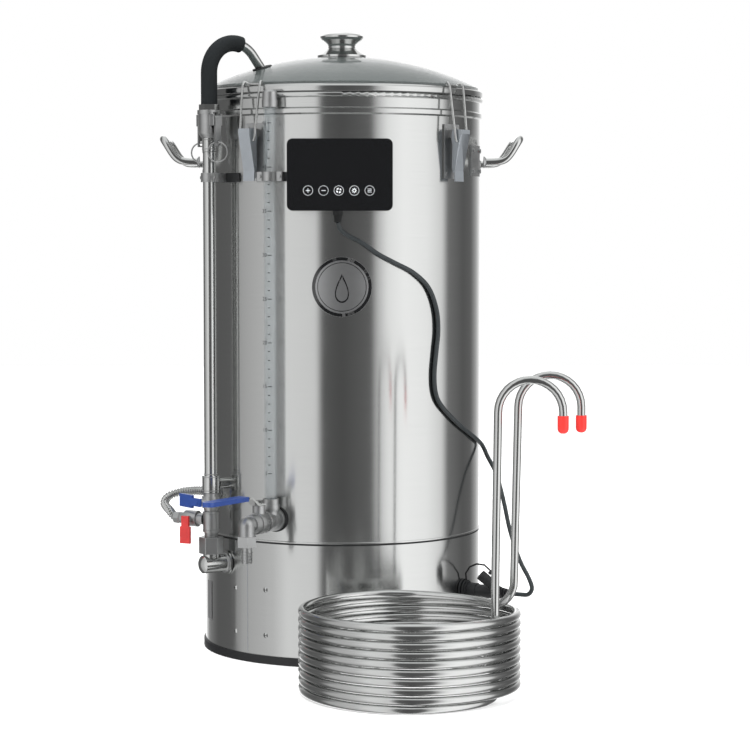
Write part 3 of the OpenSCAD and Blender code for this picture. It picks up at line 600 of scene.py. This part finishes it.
class BREWER_OT_chiller(bpy.types.Operator):
    """The immersion chiller: one tube bent into a coil with two hooked legs"""

    bl_idname = "brewer.chiller"
    bl_label = "Immersion chiller"

    def execute(self, context):
        sizes = context.scene.brewer_sizes
        r = sizes.coil_r
        centre = Vector((76.8, -323, 0)) * MM
        low = sizes.coil_tube + 0.2 * MM
        leg_a = 326.4
        leg_b = 9.5
        turns = 10
        inner = r - 10.5 * MM
        arch_r = 36.2 * MM
        arch_z = 326.4 * MM
        lean_a = Vector((2.9, 0, 0)) * MM
        lean_b = Vector((4.1, 0, 0)) * MM
        first = 270
        last = first + 360 * (turns - 1)

        def spot(turn, up, out=r):
            return centre + Vector((out * math.cos(math.radians(turn)), out * math.sin(math.radians(turn)), up))

        def arch(foot):
            return [foot + Vector((arch_r + arch_r * math.cos(a), 0, arch_r * math.sin(a)))
                    for a in (math.pi * (1 - k / 16) for k in range(17))]

        def height(turn):
            pitch = sizes.coil_pitch - 0.26 * MM * (1 - math.cos(math.radians(turn - 290)))
            return max(low, low + pitch * (turns - 1 - (turn - first) / 360) - max(0, 100 - turn) / 12 * MM)

        foot_a = spot(leg_a, arch_z, inner) + lean_a
        foot_b = spot(leg_b, arch_z) + lean_b
        coil = []
        for turn in range(40, last + 46, 5):
            inward = max(0, min(1, (130 - turn) / 60)) + max(0, turn - last) / (leg_a - first)
            coil.append(spot(turn, height(turn), r + (inner - r) * inward))
        turn_in = smooth_route(
            [spot(leg_b, 180 * MM) + lean_b / 4, spot(leg_b, 128 * MM), spot(leg_b + 0.5, 116 * MM, r - 1 * MM),
             spot(leg_b + 3, 105 * MM, r - 5 * MM), spot(leg_b + 9, 97 * MM, inner + 1 * MM),
             spot(leg_b + 18, 94 * MM, inner), coil[0]], 5)
        rise = smooth_route(
            [coil[-1], spot(leg_a - 2, low + 2 * MM, inner), spot(leg_a - 0.3, low + 8 * MM, inner),
             spot(leg_a, 24 * MM, inner), spot(leg_a, 60 * MM, inner), spot(leg_a, 150 * MM, inner) + lean_a / 5], 5)
        route = ([foot_b + Vector((2 * arch_r, 0, -26 * MM))] + arch(foot_b)[::-1] + turn_in[:-1] + coil[:-1]
                 + rise + arch(foot_a) + [foot_a + Vector((2 * arch_r, 0, -20 * MM))])
        tube = rod("chiller_tube", route, sizes.coil_tube, polished_stainless(), "chiller", sides=5)
        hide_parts("chiller_coil")
        return {"FINISHED"}


class BREWER_OT_drain_hose(bpy.types.Operator):
    """The corrugated steel hose of the drain valve"""

    bl_idname = "brewer.drain_hose"
    bl_label = "Drain hose"

    def execute(self, context):
        sizes = context.scene.brewer_sizes
        column = polar(math.degrees(sizes.column_angle), sizes.column_r / MM, 0)
        branch = Vector((-0.9, 0.436, 0))
        begin = column + Vector((0, 0, 173 * MM)) + 42.3 * MM * branch
        route = [begin, begin + Vector((-8, 5, 1)) * MM] + [Vector(p) * MM for p in (
            (-214, -82, 180), (-222, -66, 188), (-216, -55, 196), (-200, -54, 201), (-182, -62, 203),
            (-170, -71, 203), (-163, -80, 201))]
        line = smooth_route(route, 30)
        bm = bmesh.new()
        rings = []
        sides = 20
        travelled = 0.0
        for i, point in enumerate(line):
            ahead = (line[min(i + 1, len(line) - 1)] - line[max(i - 1, 0)]).normalized()
            across = ahead.cross(Vector((0, 0, 1))).normalized()
            up = across.cross(ahead)
            if i:
                travelled += (point - line[i - 1]).length
            # The corrugations are 3.6 mm apart and 1.6 mm deep.
            radius = sizes.hose_r - 0.8 * MM + 0.8 * MM * math.cos(2 * math.pi * travelled / (3.6 * MM))
            rings.append([bm.verts.new(point + radius * (math.cos(t) * across + math.sin(t) * up))
                          for t in (2 * math.pi * k / sides for k in range(sides))])
        for a, b in zip(rings, rings[1:]):
            for k in range(sides):
                bm.faces.new((a[k], a[(k + 1) % sides], b[(k + 1) % sides], b[k]))
        bm.faces.new(rings[0][::-1])
        bm.faces.new(rings[-1])
        hose = finish_mesh("corrugated_hose", bm, Matrix.Identity(4), polished_stainless(), "brewer",
                           80)
        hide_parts("steel_hose")
        for place, ahead in ((line[0], line[0] - line[6]), (line[-1], line[-1] - line[-7])):
            turn = ahead.to_track_quat("Z", "Y").to_matrix().to_4x4()
            nut = lathe("hose_nut", [(5.9, -9), (7.6, -8.4), (7.6, -1), (6.6, 0), (5.9, 0)],
                        Matrix.Translation(place) @ turn, cast_stainless(), "brewer", steps=6)
            nut.name = "hose_nut_low" if place == line[0] else "hose_nut_high"
        return {"FINISHED"}


class BREWER_OT_handles(bpy.types.Operator):
    """The two lifting handles, bent from round bar"""

    bl_idname = "brewer.handles"
    bl_label = "Lifting handles"

    def execute(self, context):
        size = context.scene.brewer_sizes.handle_rod
        root = KETTLE_R / MM + 2.2
        half = [(root, -55, 613), (192, -55, 613), (202, -55, 614), (210, -55, 622), (217, -54, 634), (221, -51, 640),
                (223.2, -44, 643)]
        full = half + [(223.2, 0, 643)] + [(x, -y, z) for x, y, z in half[::-1]]
        for side, name, node in ((-1, "bar_handle_left", "handle_left"), (1, "bar_handle_right", "handle_right")):
            route = [Vector((side * x, y, z)) * MM for x, y, z in full]
            bar = rod(name, route, size, polished_stainless(), "brewer", sides=8, order=4)
            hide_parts(node)
            for leg in (-55, 55):
                place = Matrix.Translation((side * (KETTLE_R + 1.8 * MM), leg * MM, 613 * MM))
                turned = place @ Matrix.Rotation(side * math.pi / 2, 4, "Y")
                bead = [(4.7, 0), (7.2, 0), (7.0, 0.9), (5.9, 2.0), (4.9, 2.9), (4.7, 2.9)]
                lathe(f"{name}_weld_{'front' if leg < 0 else 'back'}", bead, turned, cast_stainless(), "brewer",
                      steps=32)
        return {"FINISHED"}


class BREWER_OT_latches(bpy.types.Operator):
    """The wire hooks of the draw latches"""

    bl_idname = "brewer.latches"
    bl_label = "Draw latches"

    def execute(self, context):
        sizes = context.scene.brewer_sizes
        side = [(10.0, 191.5, 636), (11, 191.3, 638.5), (11.3, 190.9, 642), (12.4, 186.6, 676), (13, 184.1, 696),
                (13, 183.2, 702), (12.8, 181.2, 705.8), (12.3, 178.6, 706.7), (11.2, 176.6, 705.6), (9.6, 175.7, 704.3),
                (7.5, 175.6, 704.1)]
        turns = [sizes.latch_left, sizes.latch_right, sizes.latch_left + math.pi, sizes.latch_right + math.pi]
        for i, turn in enumerate(turns, start=1):
            full = [(x, r, z) for x, r, z in side] + [(-x, r, z) for x, r, z in side[::-1]]
            ends = [(7.2, 191.5, 636)] + full + [(-7.2, 191.5, 636)]
            place = around(turn)
            route = [place @ (Vector((x, -r, z)) * MM) for x, r, z in ends]
            wire = rod(f"wire_hook_{i}", smooth_route(route, 5), sizes.wire, polished_stainless(), f"bail_{i}",
                       sides=5)
            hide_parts(f"latch_bail_{i}")
        return {"FINISHED"}


class BREWER_OT_gauge_scale(bpy.types.Operator):
    """Litre marks and numbers on the sight gauge"""

    bl_idname = "brewer.gauge_scale"
    bl_label = "Litre scale"

    def execute(self, context):
        sizes = context.scene.brewer_sizes
        ink = black_print()
        tube = MARK_R * MM
        first = FIRST_MARK_Z * MM
        tall = 0.45 * MM
        bm = bmesh.new()
        for litre in range(FIRST_LITRE, LAST_LITRE + 1):
            reach = 0.62 if litre % 5 == 0 else 0.36
            up = first + (litre - FIRST_LITRE) * sizes.litre_step
            edge = [0.1 + reach * k / 6 for k in range(7)]
            for a, b in zip(edge, edge[1:]):
                corners = [(t, z) for t, z in ((a, up - tall), (b, up - tall), (b, up + tall), (a, up + tall))]
                bm.faces.new([bm.verts.new((tube * math.sin(t), -tube * math.cos(t), z)) for t, z in corners])
        bmesh.ops.remove_doubles(bm, verts=bm.verts, dist=1e-6)
        bmesh.ops.solidify(bm, geom=bm.faces[:], thickness=0.00005)
        place = around(sizes.tap_angle, sizes.gauge_r)
        finish_mesh("litre_marks", bm, place, ink, "brewer")
        for litre in range(FIRST_LITRE, LAST_LITRE + 1, 5):
            words = bpy.data.curves.new(f"litre_number_{litre}", "FONT")
            words.body = str(litre)
            words.size = 6.2 * MM
            words.align_x = "RIGHT"
            words.align_y = "CENTER"
            words.extrude = 0.02 * MM
            words.materials.append(ink)
            number = bpy.data.objects.new(f"litre_number_{litre}", words)
            context.scene.collection.objects.link(number)
            up = first + (litre - FIRST_LITRE) * sizes.litre_step
            number.matrix_world = place @ Matrix.Translation((-0.3 * MM, -tube - 0.02 * MM, up)) @ FACE_OUT
            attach(number, "brewer")
        return {"FINISHED"}


class BREWER_OT_panel_icons(bpy.types.Operator):
    """Touch keys printed on the control panel"""

    bl_idname = "brewer.panel_icons"
    bl_label = "Touch keys"

    def execute(self, context):
        ink = white_print()
        bar = [(-2.6, -0.35), (2.6, -0.35), (2.6, 0.35), (-2.6, 0.35)]
        plus = [bar, [(-0.35, 0.35), (0.35, 0.35), (0.35, 2.6), (-0.35, 2.6)],
                [(-0.35, -2.6), (0.35, -2.6), (0.35, -0.35), (-0.35, -0.35)]]
        minus = [bar]
        swirl = []
        for k in range(4):
            t0 = math.pi / 2 * k
            outer = circle(3.2, 8, start=t0, sweep=1.15)
            swirl.append(outer + [(1.0 * math.cos(t0 + 0.5), 1.0 * math.sin(t0 + 0.5))])
        cog = []
        for k in range(8):
            t = math.pi / 4 * k
            ct, st = math.cos(t), math.sin(t)
            tooth = ((1.9, -0.5), (3.1, -0.35), (3.1, 0.35), (1.9, 0.5))
            cog.append([(x * ct - y * st, x * st + y * ct) for x, y in tooth])
        waves = []
        for k in range(3):
            y = -1.8 + 1.8 * k
            top = [(-2.4 + 0.6 * i, y + 0.45 * math.sin(1.6 * i) + 0.3) for i in range(9)]
            waves.append([(x, z - 0.6) for x, z in top] + top[::-1])
        keys = [plus, minus, swirl, cog, waves]
        for k, (shapes, x) in enumerate(zip(keys, (-39.9, -21.6, -3.6, 14.7, 32.8)), start=1):
            bm = bmesh.new()
            ring_out = circle(5.8, 40)
            ring_in = circle(5.4, 40)
            for i in range(40):
                j = (i + 1) % 40
                add_plate(bm, [ring_in[i], ring_out[i], ring_out[j], ring_in[j]], 0, 0.05)
            for shape in shapes:
                add_plate(bm, shape, 0, 0.05)
            if shapes is cog:
                inner = circle(1.9, 24)
                hole = circle(1.2, 24)
                for i in range(24):
                    j = (i + 1) % 24
                    add_plate(bm, [hole[i], inner[i], inner[j], hole[j]], 0, 0.05)
            place = Matrix.Translation((x * MM, PANEL_FACE - 0.01 * MM, 575 * MM)) @ FACE_OUT
            finish_mesh(f"touch_key_{k}", bm, place, ink, "brewer")
        return {"FINISHED"}


class BREWER_OT_badge_emblem(bpy.types.Operator):
    """A plain drop inside two rings, raised on the badge"""

    bl_idname = "brewer.badge_emblem"
    bl_label = "Badge emblem"

    def execute(self, context):
        low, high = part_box("badge")
        z = (low.z + high.z) / 2
        dark = black_glass()
        bm = bmesh.new()

        def on_wall(x, up, lift):
            t = math.asin(max(-1, min(1, x * MM / KETTLE_R)))
            out = KETTLE_R + (0.8 + lift) * MM
            return (out * math.sin(t), -out * math.cos(t), z + up * MM)

        def band(outer, inner):
            for i in range(len(outer)):
                j = (i + 1) % len(outer)
                loop = [inner[i], outer[i], outer[j], inner[j]]
                top = [bm.verts.new(on_wall(x, y, 0.15)) for x, y in loop]
                base = [bm.verts.new(on_wall(x, y, -0.05)) for x, y in loop]
                bm.faces.new(top)
                bm.faces.new(base[::-1])
                for a in range(4):
                    b = (a + 1) % 4
                    bm.faces.new((base[a], base[b], top[b], top[a]))

        band(circle(35.6, 96), circle(31.8, 96))
        band(circle(29.4, 96), circle(28.6, 96))
        drop = []
        for k in range(48):
            t = 2 * math.pi * k / 48
            width = 11.5 * math.sin(t) * math.sin(t / 2) ** 1.3
            drop.append((width, 17.5 * math.cos(t) - 1.5))
        inner = [(x * 0.84, (y + 1.5) * 0.84 - 2.4) for x, y in drop]
        band(drop, inner)
        bmesh.ops.remove_doubles(bm, verts=bm.verts, dist=1e-7)
        finish_mesh("badge_emblem", bm, Matrix.Identity(4), dark, "brewer")
        return {"FINISHED"}


class BREWER_OT_small_parts(bpy.types.Operator):
    """Threads, ridges, beads, and painted shade of screw recesses and of the foot's seam, too small for the design's
    own solids
    """

    bl_idname = "brewer.small_parts"
    bl_label = "Small parts"

    def execute(self, context):
        sizes = context.scene.brewer_sizes
        cast = cast_stainless()
        polished = polished_stainless()
        tap = sizes.tap_angle
        column = sizes.column_angle
        tap_line = around(tap, 0, sizes.tap_z) @ FACE_OUT
        # Threads behind the tap's union and at the wall
        for name, begin, count, radius in (("wall", 184.5, 5, 10.5), ("union", 199.5, 3, 10.5)):
            for k in range(count):
                z = begin + 1.5 * k
                ridge = [(radius - 0.3, z), (radius + 0.5, z + 0.35), (radius + 0.5, z + 0.6), (radius - 0.3, z + 0.95)]
                lathe(f"tap_thread_{name}_{k + 1}", ridge, tap_line, cast, "brewer", steps=40)
        # Grip notches round the union ring
        for name, begin, radius, count in (("union", 204.4, 13.0, 20), ("valve", 213.0, 13.0, 24)):
            bm = bmesh.new()
            long = 4.2 if name == "union" else 6
            for k in range(count):
                t = 2 * math.pi * k / count
                ct, st = math.cos(t), math.sin(t)
                foot = [(x * ct - y * st, x * st + y * ct) for x, y in ((radius - 0.3, -0.7), (radius + 0.5, -0.4),
                        (radius + 0.5, 0.4), (radius - 0.3, 0.7))]
                add_plate(bm, foot, begin, long)
            finish_mesh(f"tap_grip_ring_{name}", bm, tap_line, cast, "brewer")
        # Ridges of the hose tail
        tail = around(tap, 247 * MM, 0)
        for k in range(4):
            z = 135.2 + 3.4 * k
            ridge = [(5.9, z - 0.4), (6.1, z - 0.4), (6.75, z + 1.9), (6.75, z + 2.2), (5.9, z + 2.2)]
            lathe(f"hose_ridge_{k + 1}", ridge, tail, cast, "brewer", steps=40)
        # Ridges of the column's barrel and threads at its nuts
        post = around(column, sizes.column_r, 0)
        for k, (z, radius) in enumerate(((153, 8.0), (154.8, 8.0), (159.5, 10.0), (180.2, 10.0), (205.2, 9.0),
                                         (208.6, 10.8), (225.2, 10.8), (228.6, 8.0), (623.0, 8.0), (626.4, 8.8),
                                         (637.6, 8.8)), start=1):
            lathe(f"column_ring_{k}", [(radius - 0.2, z), (radius + 0.55, z + 0.35), (radius + 0.55, z + 0.85),
                                       (radius - 0.2, z + 1.2)], post, cast, "brewer", steps=40)
        # Weld bead where the stub leaves the skirt, and black crosses on the skirt's screws: painted shade of their
        # cross recesses
        stub = around(column, 0, 118 * MM) @ FACE_OUT
        lathe("stub_weld", [(11, 177.3), (12.6, 177.4), (12.2, 178.8), (11.0, 179.8)], stub, cast, "brewer")
        for k, (turn, up) in enumerate(((-48.7, 89), (-48.7, 35), (-32.3, 91), (-32.3, 35), (110, 90), (110, 35),
                                        (180, 90), (180, 35)), start=1):
            # Black cross proud of the head: painted shade of the recess
            bm = bmesh.new()
            add_plate(bm, [(-1.6, -0.35), (1.6, -0.35), (1.6, 0.35), (-1.6, 0.35)], 0, 0.12)
            add_plate(bm, [(-0.35, 0.35), (0.35, 0.35), (0.35, 1.6), (-0.35, 1.6)], 0, 0.12)
            add_plate(bm, [(-0.35, -1.6), (0.35, -1.6), (0.35, -0.35), (-0.35, -0.35)], 0, 0.12)
            place = around(math.radians(turn), KETTLE_R + 1.35 * MM, up * MM) @ FACE_OUT
            finish_mesh(f"screw_recess_shade_{k}", bm, place, black_silicone(), "brewer")
        # Joint line of the skirt and its blank rating plate
        seam = around(math.radians(-41.5), KETTLE_R, 0)
        bm = bmesh.new()
        add_plate(bm, [(-0.3, -0.12), (0.3, -0.12), (0.3, 0.05), (-0.3, 0.05)], 12, 134)
        finish_mesh("skirt_joint", bm, seam, stamped_steel(), "brewer")
        label = around(math.radians(-72), KETTLE_R + 0.05 * MM, 64 * MM) @ FACE_OUT
        plate("rating_plate", [(-9, -24), (9, -24), (9, 24), (-9, 24)], 0.3, label, etched_badge(), "brewer")
        # Rolled lip of the kettle's foot, over a black ring that is painted shade of the seam under the lip
        lathe("foot_lip", [(174.8, 149.6), (175.5, 150.2), (175.7, 151), (175.5, 151.8), (174.8, 152.4)],
              Matrix.Identity(4), polished, "brewer", steps=160)
        # Black ring: painted shade in the seam between kettle and skirt
        lathe("foot_seam_shade", [(174.0, 147.9), (175.12, 147.9), (175.12, 149.7), (174.0, 149.7)], Matrix.Identity(4),
              black_silicone(), "brewer", steps=160)
        # Foam sleeve in one piece, up the arm and over its bend
        stem = polar(math.degrees(sizes.column_angle), sizes.column_r / MM, 0)
        heading = Matrix.Rotation(math.radians(ARM_HEADING), 3, "Z") @ Vector((1, 0, 0))
        bend = ARM_BEND * MM
        foam_line = [stem + Vector((0, 0, z)) * MM for z in (681, 681.7, 690, 700, 710)]
        foam_line += [stem + Vector((0, 0, ARM_START * MM + bend * math.sin(t))) + bend * (1 + math.cos(t)) * heading
                      for t in (math.radians(a) for a in list(range(180, 75, -5)) + [76, 75])]
        foam = rod("foam_tube", foam_line, 10 * MM, closed_foam(), "recirculation_arm", sides=12)
        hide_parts("foam_sleeve")
        # Grommet in the glass round the arm, square to the dome
        hole = Vector((-98.6, -60.8, 0)) * MM
        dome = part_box("lid_glass")[1].z - DOME_R * MM
        up = math.sqrt((DOME_R * MM) ** 2 - hole.length_squared)
        tilt = Vector((hole.x, hole.y, up)).to_track_quat("Z", "Y").to_matrix().to_4x4()
        lathe("arm_grommet",
              [(7.9, -6.2), (12.4, -6.2), (12.4, -5.1), (10.5, -5.1), (10.5, 0.1), (12.4, 0.1), (12.0, 1.1),
               (8.8, 1.3), (7.9, 0.8)],
              Matrix.Translation((hole.x, hole.y, dome + up)) @ tilt, black_silicone(), "lid")
        return {"FINISHED"}


class BREWER_OT_stage(bpy.types.Operator):
    """Floor, studio light and camera"""

    bl_idname = "brewer.stage"
    bl_label = "Stage"

    def execute(self, context):
        scene = context.scene
        mesh = bpy.data.meshes.new("studio_floor")
        size = 6.0
        mesh.from_pydata([(-size, -size, 0), (size, -size, 0), (size, size, 0), (-size, size, 0)], [], [(0, 1, 2, 3)])
        floor = bpy.data.objects.new("studio_floor", mesh)
        scene.collection.objects.link(floor)
        material, tree, shader = start("studio floor paint", linear("#f4f4f4"), 0.0, 0.7)
        tint(tree, shader, pattern(tree, 400, 2.0), linear("#f4f4f4"), 0.98, 1.0)
        shader.inputs["Emission Color"].default_value = (1, 1, 1, 1)
        shader.inputs["Emission Strength"].default_value = 0.35
        mesh.materials.append(material)
        floor.visible_glossy = False

        world = bpy.data.worlds.new("studio")
        scene.world = world
        world.use_nodes = True
        tree = world.node_tree
        tree.nodes.clear()
        place = add(tree, "ShaderNodeTexCoord")
        parts = add(tree, "ShaderNodeSeparateXYZ", {"Vector": place.outputs["Generated"]})
        front = add(tree, "ShaderNodeMath", {0: parts.outputs["Y"], 1: -1.0}, operation="MULTIPLY")
        turn = add(tree, "ShaderNodeMath", {0: parts.outputs["X"], 1: front.outputs[0]}, operation="ARCTAN2")
        share = add(tree, "ShaderNodeMapRange", {"Value": turn.outputs[0], "From Min": -math.pi, "From Max": math.pi})
        # Softboxes and black flags round the set: angle from the front in degrees, and brightness
        boxes = [(-180, 1.0), (-163, 0.8), (-150, 0.2), (-128, 0.09), (-104, 0.1), (-92, 0.36), (-60, 0.48),
                 (-46, 0.66), (-21, 0.62), (-16, 0.09), (0, 0.07), (24, 0.11), (29, 0.46), (38, 0.8), (52, 0.92),
                 (74, 0.86), (91, 0.66), (98, 0.16), (120, 0.09), (136, 0.11), (150, 0.32), (164, 0.6), (180, 0.9)]
        ramp = add(tree, "ShaderNodeValToRGB", {"Fac": share.outputs["Result"]})
        stops = ramp.color_ramp.elements
        while len(stops) < len(boxes):
            stops.new(0.5)
        for stop, (degrees, value) in zip(stops, boxes):
            stop.position = (degrees + 180) / 360
            stop.color = (value, value, value, 1)
        ceiling = add(tree, "ShaderNodeMapRange", {"Value": parts.outputs["Z"], "From Min": 0.55, "From Max": 0.95})
        mixed = add(tree, "ShaderNodeMix", {"Factor": ceiling.outputs["Result"], 6: ramp.outputs["Color"],
                                            7: (0.62, 0.63, 0.63, 1)}, data_type="RGBA")
        lit = add(tree, "ShaderNodeBackground", {"Color": mixed.outputs[2], "Strength": 1.55})
        plain = add(tree, "ShaderNodeBackground", {"Color": (1, 1, 1, 1), "Strength": 1.0})
        ray = add(tree, "ShaderNodeLightPath")
        seen = add(tree, "ShaderNodeMixShader",
                   {0: ray.outputs["Is Camera Ray"], 1: lit.outputs[0], 2: plain.outputs[0]})
        add(tree, "ShaderNodeOutputWorld", {"Surface": seen.outputs[0]})

        for name, spot, aim, width, power in (
                ("key_light", (-1.6, -2.2, 2.6), (0, 0, 0.3), 1.8, 60),
                ("fill_light", (2.2, -1.8, 2.0), (0, 0, 0.3), 1.8, 35),
                ("top_light", (0, 0.4, 3.2), (0, -0.1, 0), 2.6, 70)):
            light = bpy.data.lights.new(name, "AREA")
            light.shape = "DISK"
            light.size = width
            light.energy = power
            lamp = bpy.data.objects.new(name, light)
            lamp.location = spot
            lamp.rotation_euler = (Vector(aim) - Vector(spot)).to_track_quat("-Z", "Y").to_euler()
            lamp.visible_glossy = False
            scene.collection.objects.link(lamp)

        lens = bpy.data.cameras.new("camera")
        lens.lens = LENS_MM
        lens.sensor_width = 36
        lens.clip_end = 50
        camera = bpy.data.objects.new("camera", lens)
        camera.location = CAMERA_PLACE
        camera.rotation_euler = (math.radians(90 - CAMERA_DOWN), 0, math.radians(-CAMERA_TURN))
        scene.collection.objects.link(camera)
        scene.camera = camera
        scene.view_settings.view_transform = "Standard"
        return {"FINISHED"}


class BREWER_PT_panel(bpy.types.Panel):
    """Sidebar panel that lists the brewer's pieces"""

    bl_idname = "BREWER_PT_panel"
    bl_label = "Electric brewer"
    bl_space_type = "VIEW_3D"
    bl_region_type = "UI"
    bl_category = "Brewer"

    def draw(self, context):
        layout = self.layout
        for operator in OPERATORS:
            layout.operator(operator.bl_idname)
        for settings in (context.scene.brewer_finishes, context.scene.brewer_sizes):
            box = layout.box()
            for name in settings.__annotations__:
                box.prop(settings, name)


OPERATORS = (
    BREWER_OT_stage,
    BREWER_OT_cord,
    BREWER_OT_frame_finishes,
    BREWER_OT_chiller,
    BREWER_OT_drain_hose,
    BREWER_OT_handles,
    BREWER_OT_latches,
    BREWER_OT_gauge_scale,
    BREWER_OT_panel_icons,
    BREWER_OT_badge_emblem,
    BREWER_OT_small_parts,
)
CLASSES = (BrewerFinishes, BrewerSizes, *OPERATORS, BREWER_PT_panel)


def register():
    for one in CLASSES:
        bpy.utils.register_class(one)
    bpy.types.Scene.brewer_finishes = bpy.props.PointerProperty(type=BrewerFinishes)
    bpy.types.Scene.brewer_sizes = bpy.props.PointerProperty(type=BrewerSizes)


def unregister():
    del bpy.types.Scene.brewer_sizes
    del bpy.types.Scene.brewer_finishes
    for one in reversed(CLASSES):
        bpy.utils.unregister_class(one)


def main():
    register()
    bpy.ops.brewer.stage()
    bpy.ops.brewer.cord()
    bpy.ops.brewer.frame_finishes()
    bpy.ops.brewer.chiller()
    bpy.ops.brewer.drain_hose()
    bpy.ops.brewer.handles()
    bpy.ops.brewer.latches()
    bpy.ops.brewer.gauge_scale()
    bpy.ops.brewer.panel_icons()
    bpy.ops.brewer.badge_emblem()
    bpy.ops.brewer.small_parts()


if __name__ == "__main__":
    main()
